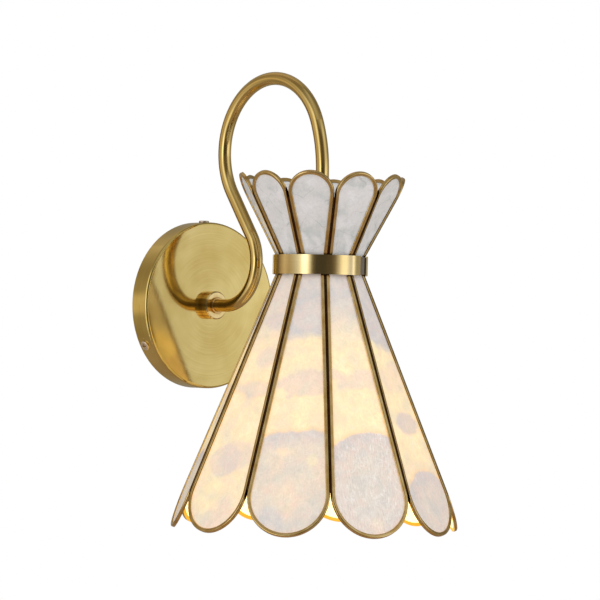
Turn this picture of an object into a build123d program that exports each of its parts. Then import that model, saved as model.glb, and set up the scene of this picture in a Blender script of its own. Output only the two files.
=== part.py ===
from build123d import *
from dataclasses import dataclass
import math
import os

# Shell wall sconce: a round brass canopy on the wall carries a gooseneck tube,
# and the tube carries an hourglass shade of framed shell petals with one lamp.
# Millimetres. The wall is the plane y = 0, the lamp reaches out along -Y, and +Z is up.
# The origin is the centre of the canopy, on the wall.

# ---- Canopy and wall plate ----
canopy_diameter = 130.0
canopy_depth = 17.0
canopy_sheet = 1.2
canopy_edge_radius = 2.0
side_screw_angles = (90.0, 210.0, 330.0)
side_screw_height = 6.5        # from the wall to the screw's axis
side_screw_diameter = 4.0      # M4
side_screw_length = 7.0
screw_head_diameter = 8.0
screw_head_height = 1.4
screw_head_round = 0.8
screw_cross_length = 4.2
screw_cross_width = 0.9
screw_cross_depth = 0.8
plate_sheet = 1.5
plate_gap = 0.8                # between the plate's rim and the canopy's wall
lug_width = 12.0
lug_edge = 4.5                 # metal beyond the tapped hole's axis
wire_hole_diameter = 40.0
wall_slot_spacing = 75.0
wall_slot_length = 20.0
wall_slot_width = 4.8
earth_screw_place = (26.0, 27.0)

# ---- Gooseneck ----
tube_diameter = 10.0
tube_wall = 1.0
shade_reach = 143.0            # from the wall to the shade's axis
first_bend_start = 36.0        # from the wall, where the first straight run ends
leaning_run = 41.73            # straight run between the first bend and the loop
loop_radius = 55.0
loop_height = 119.5            # of the loop's centre, above the canopy's centre
loop_easing = 3.5              # how much wider than its radius the loop comes down
loop_easing_angle = 21.0       # above level, where it starts to open
collar_diameter = 22.0
collar_length = 7.5
collar_chamfer = 1.0
collar_neck_diameter = 12.4
collar_neck_length = 2.0
collar_neck_chamfer = 0.4
nut_across_flats = 14.0
nut_thickness = 3.0
thread_stub = 1.0              # thread that stands past a nut
washer_diameter = 17.0
washer_sheet = 0.8
washer_tooth_count = 12
washer_notch = 1.6

# ---- Waist ----
band_diameter = 71.6
band_sheet = 0.8
band_height = 14.5
band_bottom = 23.5
strap_gap_start_angle = 14.5   # where one end of the open strap stops, from the front to +X
strap_gap_end_angle = 31.5     # where its other end stops
joint_plate_sheet = 0.4
joint_plate_height = 13.0
joint_plate_near_lap_angle = 7.0   # plate under the strap's first end
joint_plate_far_lap_angle = 4.0    # plate under its second end
waist_ring_sheet = 0.8
waist_ring_height = 11.0
carrier_sheet = 1.5
carrier_underside = 30.5
carrier_vent_count = 6
carrier_vent_diameter = 5.0
carrier_vent_circle = 36.0

# ---- Petals ----
petal_count = 10
crown_flare_angle = 26.8
crown_tip = 98.0
crown_strip_end = 79.0
crown_overlap = 5.0
crown_turn_angle = 3.2               # the crown sits turned a little against the bell
bell_flare_angle = 21.55
bell_tip = -166.7
bell_strip_end = -134.5
bell_overlap = 7.5
seam_inset = 0.85              # from the seam of two petal planes to each frame
frame_face = 2.9
frame_depth = 2.6
frame_round = 0.9
frame_lip = 0.8                # metal in front of the shell
channel_wall = 0.7
shell_thickness = 1.2
strip_recess = 0.5
strip_depth = 1.4

# ---- Lamp ----
holder_diameter = 28.0
holder_wall = 2.0
holder_cap_height = 22.0
holder_body_height = 28.5
holder_neck_diameter = 15.0
holder_neck_height = 4.0
holder_thread_height = 4.0
holder_floor = 3.0
holder_bore_depth = 21.0
holder_skirt = 1.2
contact_width = 4.0
contact_sheet = 0.4
contact_length = 9.0
contact_drop = 2.4
bulb_thread_diameter = 13.8    # E14
bulb_thread_pitch = 2.82
bulb_thread_depth = 0.5
bulb_thread_turn_count = 5
bulb_cap_sheet = 0.5
bulb_button_diameter = 5.0
bulb_insulator_height = 2.5
bulb_thread_shares = (0.3, 0.55, 0.9)   # of each turn: crest starts, crest ends, root starts
globe_diameter = 45.0
globe_length = 52.0
globe_wall = 1.0
globe_neck_diameter = 21.0
globe_shoulder_angle = 35.0    # above level, where the round of the globe meets its shoulder
globe_stem_height = 4.0        # of the glass inside the lamp's cap

# ---- Wiring ----
lead_diameter = 4.6
lead_bend_radius = 6.0
block_length = 30.0
block_depth = 12.0
block_height = 14.0
block_top = -24.0
block_way_count = 3
block_screw_diameter = 4.0
block_screw_recess = 3.0
block_wire_diameter = 3.2
block_edge_round = 1.0
block_screw_shares = (0.27, 0.73)   # of the block's height, the two rows of screws

# ---- Clearances ----
slip_fit = 0.05                # radial, screws and nuts on their threads
clear_hole = 0.25              # radial, a hole that a screw or tube passes through
touch_gap = 0.02               # a flat head against a curved wall
petal_fit = 0.2                # petal corners inside the joint plate
plate_fit = 0.06               # joint plate inside the strap
groove_fit = 0.1               # shell in its channel
strip_fit = 0.1
ring_fit = 0.15
carrier_fit = 0.1
bulb_fit = 0.4                 # radial, the lamp's thread in the holder
lamp_gap = 0.3                 # lamp to holder, end to end
same_place = 1e-3              # edges nearer than this lie at one place

# ---- Places worked out from the sizes above ----
canopy_radius = canopy_diameter / 2
canopy_inner_radius = canopy_radius - canopy_sheet
canopy_inner_face = canopy_depth - canopy_sheet
plate_radius = canopy_inner_radius - plate_gap
tube_radius = tube_diameter / 2
tube_start = canopy_inner_face - washer_sheet - nut_thickness - thread_stub
carrier_top = carrier_underside + carrier_sheet
band_top = band_bottom + band_height
band_inner_radius = band_diameter / 2 - band_sheet
joint_plate_radius = band_inner_radius - plate_fit - joint_plate_sheet
holder_cap_bottom = carrier_underside - holder_cap_height
holder_mouth = holder_cap_bottom - holder_body_height
holder_radius = holder_diameter / 2
holder_bore_radius = bulb_thread_diameter / 2 + bulb_fit
holder_bore_top = holder_mouth + holder_bore_depth
tube_end = carrier_underside - holder_neck_height - holder_thread_height
lead_end = holder_cap_bottom + holder_thread_height
lamp_shoulder = holder_mouth - lamp_gap
button_top = holder_bore_top - contact_drop - contact_sheet - lamp_gap
lamp_shell_top = button_top - bulb_insulator_height - contact_sheet
loop_reach = shade_reach - loop_radius - loop_easing
# The first bend has the one radius that leaves the leaning run straight before the loop.
bend_to_loop = loop_reach - first_bend_start
centre_distance_squared = bend_to_loop ** 2 + loop_height ** 2
first_bend_radius = (centre_distance_squared - leaning_run ** 2 - loop_radius ** 2) / (
    2 * (loop_height + loop_radius))
shade_axis = Pos(0, -shade_reach, 0)
canopy_seat = Plane(origin=(0, -canopy_inner_face, 0), x_dir=(1, 0, 0), z_dir=(0, 1, 0))
carrier_seat = Plane(origin=(0, -shade_reach, carrier_top))


def turned_on_arm(points):
    """Turn (radius, distance from the wall) points about the arm's axis at the wall."""
    outline = Polyline([(radius, -reach) for radius, reach in points], close=True)
    return revolve(make_face(outline), Axis.Y)


def turned_on_shade(points):
    """Turn (radius, height) points about the shade's axis."""
    outline = Plane.XZ * Polyline(points, close=True)
    return shade_axis * revolve(make_face(outline), Axis.Z)


def rim_plane(angle):
    """Plane on the arm's axis: x out from the wall, z along a radius of the canopy."""
    turn = math.radians(angle)
    return Plane(origin=(0, 0, 0), x_dir=(0, -1, 0), z_dir=(math.cos(turn), 0, math.sin(turn)))


def front_direction(angle):
    """Unit vector level with the floor, at an angle from the front towards +X."""
    turn = math.radians(angle)
    return Vector(math.sin(turn), -math.cos(turn), 0)


def side_direction(angle):
    """Unit vector level with the floor, square to front_direction."""
    turn = math.radians(angle)
    return Vector(math.cos(turn), math.sin(turn), 0)


def circle_edges(solid, radius, axis, place):
    """The round edges of one radius that lie at one place along an axis."""
    rounds = solid.edges().filter_by(GeomType.CIRCLE)
    same_size = rounds.filter_by(lambda edge: abs(edge.radius - radius) < same_place)
    return same_size.filter_by(lambda edge: abs(edge.center().dot(axis) - place) < same_place)


# ---------------------------------------------------------------- canopy and plate

def pan_head_screw(diameter, length):
    """A cross-head screw along +Z: the head's underside is at z = 0."""
    head = Cylinder(screw_head_diameter / 2, screw_head_height,
                    align=(Align.CENTER, Align.CENTER, Align.MIN))
    head = fillet(head.edges().group_by(Axis.Z)[-1], screw_head_round)
    recess_place = Pos(0, 0, screw_head_height - screw_cross_depth)
    for turn in (0, 90):
        slot = Box(screw_cross_length, screw_cross_width, screw_cross_depth * 2,
                   align=(Align.CENTER, Align.CENTER, Align.MIN))
        head -= recess_place * Rot(0, 0, turn) * slot
    shank = Cylinder(diameter / 2 - slip_fit, length,
                     align=(Align.CENTER, Align.CENTER, Align.MAX))
    return head + shank


def make_canopy():
    """Spun cup with a flat face, a hole for the arm and three holes in its rim."""
    bore = tube_radius + clear_hole
    cup = turned_on_arm([
        (bore, canopy_depth),
        (canopy_radius, canopy_depth),
        (canopy_radius, 0),
        (canopy_inner_radius, 0),
        (canopy_inner_radius, canopy_inner_face),
        (bore, canopy_inner_face),
    ])
    away = Vector(0, -1, 0)
    cup = fillet(circle_edges(cup, canopy_radius, away, canopy_depth), canopy_edge_radius)
    inner_round = max(canopy_edge_radius - canopy_sheet, canopy_sheet / 4)
    cup = fillet(circle_edges(cup, canopy_inner_radius, away, canopy_inner_face), inner_round)
    hole = Cylinder(side_screw_diameter / 2 + clear_hole, canopy_radius,
                    align=(Align.CENTER, Align.CENTER, Align.MIN))
    for angle in side_screw_angles:
        cup -= rim_plane(angle) * Pos(side_screw_height, 0, canopy_radius / 2) * hole
    return cup


def make_wall_plate():
    """Round steel plate with a wire hole, two long slots and three bent, tapped lugs."""
    sheet = Circle(plate_radius) - Circle(wire_hole_diameter / 2)
    for side in (-1, 1):
        sheet -= Pos(side * wall_slot_spacing / 2, 0) * SlotOverall(wall_slot_length, wall_slot_width)
    sheet -= Pos(*earth_screw_place) * Circle(side_screw_diameter / 2)
    plate = extrude(Plane.XZ * sheet, plate_sheet)
    lug_reach = side_screw_height + lug_edge
    lug = Box(lug_reach, lug_width, plate_sheet, align=(Align.MIN, Align.CENTER, Align.MAX))
    lug = fillet(lug.edges().filter_by(Axis.Z).group_by(Axis.X)[-1], lug_width / 4)
    lug -= Pos(side_screw_height, 0, 0) * Cylinder(side_screw_diameter / 2, plate_sheet * 4)
    flat_place = math.sqrt(plate_radius ** 2 - (lug_width / 2) ** 2)
    for angle in side_screw_angles:
        plate += rim_plane(angle) * Pos(0, 0, flat_place) * lug
    return plate


def make_side_screws():
    """Three screws that hold the canopy to the plate's lugs."""
    screw = pan_head_screw(side_screw_diameter, side_screw_length)
    seat = canopy_radius + touch_gap
    return [rim_plane(angle) * Pos(side_screw_height, 0, seat) * screw for angle in side_screw_angles]


def make_earth_screw():
    """Screw in the plate for the earth wire."""
    across, height = earth_screw_place
    seat = Plane(origin=(across, -plate_sheet, height), x_dir=(1, 0, 0), z_dir=(0, -1, 0))
    return seat * pan_head_screw(side_screw_diameter, plate_sheet)


def make_terminal_block():
    """Moulded block that rests on the plate, with wire holes and screw holes."""
    block = Box(block_length, block_depth, block_height, align=(Align.CENTER, Align.MAX, Align.MAX))
    block = fillet(block.edges().filter_by(Axis.Y), block_edge_round)
    block = Pos(0, -plate_sheet, block_top) * block
    way_pitch = block_length / block_way_count
    screw_well = Cylinder(block_screw_diameter / 2, block_screw_recess * 2)
    wire_well = Cylinder(block_wire_diameter / 2, block_height)
    face = Plane(origin=(0, -plate_sheet - block_depth, block_top), x_dir=(1, 0, 0), z_dir=(0, -1, 0))
    for way in range(block_way_count):
        across = (way - (block_way_count - 1) / 2) * way_pitch
        for share in block_screw_shares:
            block -= face * Pos(across, -block_height * share, 0) * screw_well
        block -= Pos(across, -plate_sheet - block_depth / 2, block_top - block_height) * wire_well
    return block


# ---------------------------------------------------------------- gooseneck

def in_arm_plane(reach, height):
    """A point of the arm's plane, from its distance to the wall and its height."""
    return Vector(0, -reach, height)


def on_circle(centre, radius, angle):
    """A point on a circle of the arm's plane; the angle is in radians, up from 'out'."""
    return (centre[0] + radius * math.cos(angle), centre[1] + radius * math.sin(angle))


def arm_arc(centre, radius, first, last):
    """An arc of the arm's plane between two angles."""
    middle = (first + last) / 2
    ends = [on_circle(centre, radius, angle) for angle in (first, middle, last)]
    return ThreePointArc(*[in_arm_plane(*end) for end in ends])


def arm_route(start, end_height):
    """The arm's centreline as tangent runs and arcs, from the canopy to the shade."""
    first_centre = (first_bend_start, first_bend_radius)
    loop_centre = (loop_reach, loop_height)
    rise = loop_height - first_bend_radius
    both_radii = first_bend_radius + loop_radius
    heading = math.atan2(rise, bend_to_loop) + math.atan2(both_radii, leaning_run)
    first_exit = heading - math.pi / 2
    loop_entry = heading + math.pi / 2
    easing = math.radians(loop_easing_angle)
    ease_radius = loop_radius + loop_easing / (1 - math.cos(easing))
    ease_centre = on_circle(loop_centre, loop_radius - ease_radius, easing)
    return [
        Line(in_arm_plane(start, 0), in_arm_plane(first_bend_start, 0)),
        arm_arc(first_centre, first_bend_radius, -math.pi / 2, first_exit),
        Line(in_arm_plane(*on_circle(first_centre, first_bend_radius, first_exit)),
             in_arm_plane(*on_circle(loop_centre, loop_radius, loop_entry))),
        arm_arc(loop_centre, loop_radius, loop_entry, easing),
        arm_arc(ease_centre, ease_radius, easing, 0),
        Line(in_arm_plane(shade_reach, ease_centre[1]), in_arm_plane(shade_reach, end_height)),
    ]


def make_arm_tube():
    """Brass tube, threaded at both ends, bent in one plane."""
    route = Wire(arm_route(tube_start, tube_end))
    section = Circle(tube_radius) - Circle(tube_radius - tube_wall)
    mouth = Plane(origin=in_arm_plane(tube_start, 0), x_dir=(1, 0, 0), z_dir=(0, -1, 0))
    tube = sweep(mouth * section, path=route)
    expected = route.length * math.pi * (tube_radius ** 2 - (tube_radius - tube_wall) ** 2)
    print("arm tube: length", round(route.length, 1), "volume / section x length",
          round(tube.volume / expected, 4))
    return tube


def make_lamp_lead():
    """Sheathed lead from the terminal block, through the tube, to the lampholder."""
    bend_reach = tube_start - lead_bend_radius
    bend_centre = (tube_start, -lead_bend_radius)
    drop = Line(in_arm_plane(bend_reach, block_top), in_arm_plane(bend_reach, -lead_bend_radius))
    bend = arm_arc(bend_centre, lead_bend_radius, math.pi, math.pi / 2)
    route = Wire([drop, bend] + arm_route(tube_start, lead_end))
    section = Plane(origin=in_arm_plane(bend_reach, block_top)) * Circle(lead_diameter / 2)
    return sweep(section, path=route)


def make_arm_collar():
    """Turned, stepped collar that seats the tube against the canopy's face."""
    front = canopy_depth + collar_length
    neck_front = front + collar_neck_length
    radius = collar_diameter / 2
    neck = collar_neck_diameter / 2
    bore = tube_radius + slip_fit
    return turned_on_arm([
        (bore, canopy_depth),
        (radius, canopy_depth),
        (radius, front - collar_chamfer),
        (radius - collar_chamfer, front),
        (neck, front),
        (neck, neck_front - collar_neck_chamfer),
        (neck - collar_neck_chamfer, neck_front),
        (bore, neck_front),
    ])


def hex_nut():
    """Thin lamp nut, its lower face at z = 0."""
    blank = RegularPolygon(nut_across_flats / 2, 6, major_radius=False) - Circle(tube_radius + slip_fit)
    return extrude(blank, nut_thickness)


def toothed_washer():
    """Lock washer with notches between its teeth, its lower face at z = 0."""
    blank = Circle(washer_diameter / 2) - Circle(tube_radius + clear_hole)
    for tooth in range(washer_tooth_count):
        turn = 360 * tooth / washer_tooth_count
        blank -= Rot(0, 0, turn) * Pos(washer_diameter / 2, 0) * Rectangle(washer_notch * 2, washer_notch)
    return extrude(blank, washer_sheet)


def make_lock_washers():
    """One washer inside the canopy and one on the shade's carrier."""
    return [canopy_seat * toothed_washer(), carrier_seat * toothed_washer()]


def make_arm_nuts():
    """The nut that pulls the arm against the canopy, and the one above the carrier."""
    on_washer = Pos(0, 0, washer_sheet)
    return [canopy_seat * on_washer * hex_nut(), carrier_seat * on_washer * hex_nut()]


# ---------------------------------------------------------------- petals

@dataclass
class PetalTier:
    """A ring of flat petals that flares away from the band: the crown or the bell.

    direction is +1 where the petals rise and -1 where they hang.
    """

    direction: int
    flare_angle: float
    band_edge: float
    overlap: float
    tip: float
    strip_end: float
    turn_angle: float

    def __post_init__(self):
        slope = math.radians(self.flare_angle)
        self.half_share = math.pi / petal_count
        self.sin_flare = math.sin(slope)
        self.cos_flare = math.cos(slope)
        self.side_angle = math.atan(self.sin_flare * math.tan(self.half_share))
        # The frame's corner lies inside the joint plate, which gives the petal plane's distance.
        corner = joint_plate_radius - petal_fit
        spread = math.tan(self.half_share)
        margin = seam_inset / math.cos(self.side_angle)
        under_root = (spread * margin) ** 2 - (1 + spread ** 2) * (margin ** 2 - corner ** 2)
        self.edge_apothem = (spread * margin + math.sqrt(under_root)) / (1 + spread ** 2)
        self.apex = self.band_edge - self.direction * self.edge_apothem / math.tan(slope)
        self.inner_end = self.band_edge - self.direction * self.overlap

    def run_to(self, height):
        """Distance from the apex of the petal planes, along a petal, to a height."""
        return abs(height - self.apex) / self.cos_flare

    def end_clear_radius(self):
        """Smallest distance from the shade's axis to the petals' inner ends."""
        outer = self.run_to(self.inner_end) * self.sin_flare
        return outer - frame_depth * self.cos_flare

    def outline(self, inset):
        """Petal outline in its own plane, drawn in from the seams by inset."""
        sine = math.sin(self.side_angle)
        cosine = math.cos(self.side_angle)
        top_run = self.run_to(self.inner_end) + inset - seam_inset
        centre_run = (self.run_to(self.tip) + seam_inset) / (1 + sine)
        radius = centre_run * sine - inset
        half_top = top_run * math.tan(self.side_angle) - inset / cosine
        side_x = radius * cosine
        side_y = centre_run - radius * sine
        right = Line((half_top, top_run), (side_x, side_y))
        rounded_end = ThreePointArc((side_x, side_y), (0, centre_run + radius), (-side_x, side_y))
        left = Line((-side_x, side_y), (-half_top, top_run))
        top = Line((-half_top, top_run), (half_top, top_run))
        return make_face(Wire([right, rounded_end, left, top]))

    def petal_plane(self):
        """Plane of the first petal's outer face: y runs to the tip and z points inwards."""
        angle = 180 / petal_count + self.turn_angle
        inward = front_direction(angle) * -self.cos_flare
        inward += Vector(0, 0, self.direction * self.sin_flare)
        across = side_direction(angle) * -self.direction
        return Plane(origin=(0, -shade_reach, self.apex), x_dir=across, z_dir=inward)

    def make_frame(self):
        """Brass channel bent round the petal, with the groove that holds the shell."""
        ring = self.outline(seam_inset) - self.outline(seam_inset + frame_face)
        frame = extrude(ring, frame_depth)
        frame = fillet(frame.edges().group_by(Axis.Z)[0], min(frame_round, frame_face / 3))
        groove = extrude(self.outline(seam_inset + channel_wall), shell_thickness + 2 * groove_fit)
        return self.petal_plane() * (frame - Pos(0, 0, frame_lip) * groove)

    def make_shell(self):
        """Flat laminated shell pane in the frame's groove."""
        pane = extrude(self.outline(seam_inset + channel_wall + groove_fit), shell_thickness)
        return self.petal_plane() * Pos(0, 0, frame_lip + groove_fit) * pane

    def make_strip(self):
        """Dark steel strip in the seam between two frames."""
        slope = math.radians(self.flare_angle)
        seam_slope = math.atan(math.tan(slope) / math.cos(self.half_share))
        cos_fold = self.cos_flare ** 2 * math.cos(2 * self.half_share) + self.sin_flare ** 2
        half_fold = math.acos(cos_fold) / 2
        reach = seam_inset - strip_fit
        corners = []
        for depth in (strip_recess, strip_recess + strip_depth):
            side = reach * math.cos(half_fold) - depth * math.sin(half_fold)
            drop = -reach * math.sin(half_fold) - depth * math.cos(half_fold)
            corners.append((side, drop))
        mirrored = [(-side, drop) for side, drop in reversed(corners)]
        section = make_face(Polyline(corners + mirrored, close=True))
        start = self.inner_end + self.direction * seam_inset
        start_radius = self.run_to(start) * self.sin_flare / math.cos(self.half_share)
        outward = front_direction(self.turn_angle)
        origin = Vector(0, -shade_reach, start) + outward * start_radius
        along = outward * math.sin(seam_slope) + Vector(0, 0, self.direction * math.cos(seam_slope))
        across = side_direction(self.turn_angle) * -self.direction
        length = abs(self.strip_end - start) / math.cos(seam_slope)
        return extrude(Plane(origin=origin, x_dir=across, z_dir=along) * section, length)


def around_shade(solid):
    """Copies of a solid, one for each petal, turned about the shade's axis."""
    at_axis = Pos(0, shade_reach, 0) * solid
    step = 360 / petal_count
    return [shade_axis * Rot(0, 0, step * number) * at_axis for number in range(petal_count)]


# ---------------------------------------------------------------- waist

def curved_sheet(inner_radius, sheet, first, last, height):
    """Upright sheet bent round the shade's axis, from one angle to another, at mid-band."""
    middle = (first + last) / 2

    def arc(radius, start, stop):
        angles = (start, (start + stop) / 2, stop)
        return ThreePointArc(*[front_direction(angle) * radius for angle in angles])

    inside = [arc(inner_radius, first, middle), arc(inner_radius, middle, last)]
    outside = [arc(inner_radius + sheet, first, middle), arc(inner_radius + sheet, middle, last)]
    ends = [Line(inside[0] @ 0, outside[0] @ 0), Line(inside[1] @ 1, outside[1] @ 1)]
    bent = extrude(make_face(Wire(inside + outside + ends)), height)
    return shade_axis * Pos(0, 0, (band_bottom + band_top - height) / 2) * bent


def make_waist_band():
    """Open brass strap round the petals' ends."""
    return curved_sheet(band_inner_radius, band_sheet, strap_gap_end_angle,
                        strap_gap_start_angle + 360, band_height)


def make_joint_plate():
    """Steel plate inside the strap that joins its two ends across their gap."""
    return curved_sheet(joint_plate_radius, joint_plate_sheet,
                        strap_gap_start_angle - joint_plate_near_lap_angle,
                        strap_gap_end_angle + joint_plate_far_lap_angle, joint_plate_height)


def make_waist_ring(crown, bell):
    """Ring inside the waist that the petals' ends are soldered to, and its bore's radius."""
    outer = min(crown.end_clear_radius(), bell.end_clear_radius()) - ring_fit
    middle = (crown.inner_end + bell.inner_end) / 2
    low = middle - waist_ring_height / 2
    ring = extrude(Circle(outer) - Circle(outer - waist_ring_sheet), waist_ring_height)
    return shade_axis * Pos(0, 0, low) * ring, outer - waist_ring_sheet


def make_shade_carrier(ring_bore):
    """Steel disc in the waist ring that hangs the shade on the tube."""
    disc = Circle(ring_bore - carrier_fit) - Circle(tube_radius + clear_hole)
    for vent in range(carrier_vent_count):
        turn = Rot(0, 0, 360 * vent / carrier_vent_count)
        disc -= turn * Pos(carrier_vent_circle / 2, 0) * Circle(carrier_vent_diameter / 2)
    return shade_axis * Pos(0, 0, carrier_underside) * extrude(disc, carrier_sheet)


# ---------------------------------------------------------------- lamp

def make_holder_cap():
    """Upper shell of the lampholder, screwed on the tube under the carrier."""
    bore = tube_radius + slip_fit
    neck = holder_neck_diameter / 2
    neck_bottom = carrier_underside - holder_neck_height
    shoulder = neck_bottom - (holder_radius - neck)
    thread_floor = tube_end + thread_stub
    cap = turned_on_shade([
        (bore, carrier_underside),
        (neck, carrier_underside),
        (neck, neck_bottom),
        (holder_radius, shoulder),
        (holder_radius, holder_cap_bottom),
        (holder_radius - holder_wall, holder_cap_bottom),
        (holder_radius - holder_wall, shoulder - holder_wall / 2),
        (neck + holder_wall / 4, thread_floor),
        (bore, thread_floor),
    ])
    rims = circle_edges(cap, holder_radius, Vector(0, 0, 1), shoulder)
    return fillet(rims, holder_wall)


def make_holder_body():
    """Lower shell of the lampholder, with the bore that takes the lamp's cap."""
    spigot = holder_radius - holder_wall - clear_hole
    skirt = holder_radius + holder_skirt
    skirt_top = holder_cap_bottom - holder_body_height / 3
    return turned_on_shade([
        (0, lead_end),
        (spigot, lead_end),
        (spigot, holder_cap_bottom),
        (holder_radius, holder_cap_bottom),
        (holder_radius, skirt_top + holder_skirt),
        (skirt, skirt_top),
        (skirt, skirt_top - holder_wall),
        (holder_radius, skirt_top - holder_wall - holder_skirt),
        (holder_radius, holder_mouth),
        (holder_bore_radius, holder_mouth),
        (holder_bore_radius, holder_bore_top),
        (0, holder_bore_top),
    ])


def make_holder_contact():
    """Springy leaf at the top of the bore that presses on the lamp's centre contact."""
    half = contact_length / 2
    leaf = Plane.XZ * Polyline([
        (-half, holder_bore_top),
        (half, holder_bore_top),
        (half, holder_bore_top - contact_sheet),
        (-half + contact_sheet, holder_bore_top - contact_sheet),
        (half / 2, holder_bore_top - contact_drop),
        (half / 2, holder_bore_top - contact_drop - contact_sheet),
        (half / 4, holder_bore_top - contact_drop - contact_sheet),
        (-half, holder_bore_top - contact_sheet),
    ], close=True)
    tongue = extrude(make_face(leaf), contact_width / 2, both=True)
    return shade_axis * tongue


def make_bulb_cap():
    """Screw cap of the lamp with its insulator and centre contact."""
    crest = bulb_thread_diameter / 2
    root = crest - bulb_thread_depth
    bore = root - bulb_cap_sheet
    shell_height = lamp_shell_top - lamp_shoulder
    turn_height = min(bulb_thread_pitch, shell_height / (bulb_thread_turn_count + 1))
    profile = [(0, button_top), (bulb_button_diameter / 2, button_top)]
    profile += [(bulb_button_diameter / 2, button_top - contact_sheet), (root, lamp_shell_top)]
    for turn in range(bulb_thread_turn_count):
        start = lamp_shell_top - turn * turn_height
        for radius, share in zip((crest, crest, root), bulb_thread_shares):
            profile.append((radius, start - turn_height * share))
    profile += [(root, lamp_shoulder), (bore, lamp_shoulder)]
    profile += [(bore, lamp_shell_top - bulb_cap_sheet), (0, lamp_shell_top - bulb_cap_sheet)]
    return turned_on_shade(profile)


def globe_section(inset):
    """Half section of the globe, its neck and its stem, drawn in by inset all round."""
    radius = globe_diameter / 2 - inset
    neck = globe_neck_diameter / 2 - inset
    stem = bulb_thread_diameter / 2 - bulb_thread_depth - bulb_cap_sheet - slip_fit - inset
    stem_top = lamp_shoulder + globe_stem_height
    neck_top = lamp_shoulder - inset
    centre = lamp_shoulder - globe_length + globe_diameter / 2
    angle = math.radians(globe_shoulder_angle)
    shoulder = (radius * math.cos(angle), centre + radius * math.sin(angle))
    flank = (radius * math.cos(angle), centre - radius * math.sin(angle))
    low = (0, centre - radius)
    edges = [
        Line((0, stem_top), (stem, stem_top)),
        Line((stem, stem_top), (stem, neck_top)),
        Line((stem, neck_top), (neck, neck_top)),
        Line((neck, neck_top), shoulder),
        ThreePointArc(shoulder, flank, low),
        Line(low, (0, stem_top)),
    ]
    return make_face(Wire(edges))


def make_bulb_globe():
    """Opal glass globe whose stem sits in the lamp's cap."""
    section = Plane.XZ * (globe_section(0) - globe_section(globe_wall))
    return shade_axis * revolve(section, Axis.Z)


# ---------------------------------------------------------------- write the nodes

def save(node, *solids):
    """Write one node; several solids go in as a group."""
    shape = solids[0] if len(solids) == 1 else Compound(children=list(solids))
    export_step(shape, f"parts/{node}.step")


def main():
    os.makedirs("parts", exist_ok=True)
    save("wall_plate", make_wall_plate())
    save("canopy", make_canopy())
    save("canopy_side_screws", *make_side_screws())
    save("earth_screw", make_earth_screw())
    save("terminal_block", make_terminal_block())
    save("lamp_lead", make_lamp_lead())
    save("arm_tube", make_arm_tube())
    save("arm_collar", make_arm_collar())
    save("arm_lock_washers", *make_lock_washers())
    save("arm_nuts", *make_arm_nuts())
    save("waist_band", make_waist_band())
    save("strap_joint_plate", make_joint_plate())
    crown = PetalTier(1, crown_flare_angle, band_top, crown_overlap, crown_tip,
                      crown_strip_end, crown_turn_angle)
    bell = PetalTier(-1, bell_flare_angle, band_bottom, bell_overlap, bell_tip, bell_strip_end, 0.0)
    ring, ring_bore = make_waist_ring(crown, bell)
    save("waist_ring", ring)
    save("shade_carrier", make_shade_carrier(ring_bore))
    save("seam_strips", *around_shade(crown.make_strip()), *around_shade(bell.make_strip()))
    for name, tier in (("crown", crown), ("bell", bell)):
        frames = around_shade(tier.make_frame())
        shells = around_shade(tier.make_shell())
        for number, (frame, shell) in enumerate(zip(frames, shells), start=1):
            save(f"{name}_petal_frame_{number:02d}", frame)
            save(f"{name}_petal_shell_{number:02d}", shell)
    save("lampholder_cap", make_holder_cap())
    save("lampholder_body", make_holder_body())
    save("lampholder_contact", make_holder_contact())
    save("bulb_cap", make_bulb_cap())
    save("bulb_globe", make_bulb_globe())


main()
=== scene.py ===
"""Looks of a shell wall sconce: satin brass, soldered petal frames and lit capiz panes.

Everything is in metres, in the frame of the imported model. The wall is the plane y = 0, the
object reaches out along -Y, and the shade's axis is parallel to Z. Patterns and petals are
sized in millimetres.
"""

import logging
import math
from dataclasses import dataclass
from enum import Enum
from typing import Any, Iterable, Optional

import bmesh
import bpy
import numpy as np
from bpy.types import Material, Node, NodeSocket, NodeTree
from mathutils import Matrix, Vector, noise
from mathutils.geometry import delaunay_2d_cdt


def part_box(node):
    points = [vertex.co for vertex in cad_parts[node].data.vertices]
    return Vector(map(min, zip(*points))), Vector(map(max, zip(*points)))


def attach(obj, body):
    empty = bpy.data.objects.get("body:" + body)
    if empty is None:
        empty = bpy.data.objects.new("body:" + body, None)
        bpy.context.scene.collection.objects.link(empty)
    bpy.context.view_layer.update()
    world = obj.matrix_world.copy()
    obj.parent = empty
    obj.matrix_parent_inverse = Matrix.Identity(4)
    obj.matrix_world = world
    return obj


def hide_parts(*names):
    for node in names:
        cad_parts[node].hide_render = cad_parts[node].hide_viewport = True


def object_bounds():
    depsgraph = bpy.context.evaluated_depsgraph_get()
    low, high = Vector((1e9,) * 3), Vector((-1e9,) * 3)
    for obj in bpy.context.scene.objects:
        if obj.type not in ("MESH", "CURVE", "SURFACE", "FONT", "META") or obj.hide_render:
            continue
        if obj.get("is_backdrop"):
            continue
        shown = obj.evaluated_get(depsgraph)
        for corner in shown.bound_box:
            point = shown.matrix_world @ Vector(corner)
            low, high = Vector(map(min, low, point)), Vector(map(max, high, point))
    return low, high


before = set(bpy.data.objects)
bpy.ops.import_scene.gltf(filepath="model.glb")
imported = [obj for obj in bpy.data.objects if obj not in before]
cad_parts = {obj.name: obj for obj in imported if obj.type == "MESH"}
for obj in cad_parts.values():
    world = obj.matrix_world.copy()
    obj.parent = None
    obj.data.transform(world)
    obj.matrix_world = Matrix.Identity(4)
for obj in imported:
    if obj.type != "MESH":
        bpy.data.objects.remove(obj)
log = logging.getLogger("wall_sconce")

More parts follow.
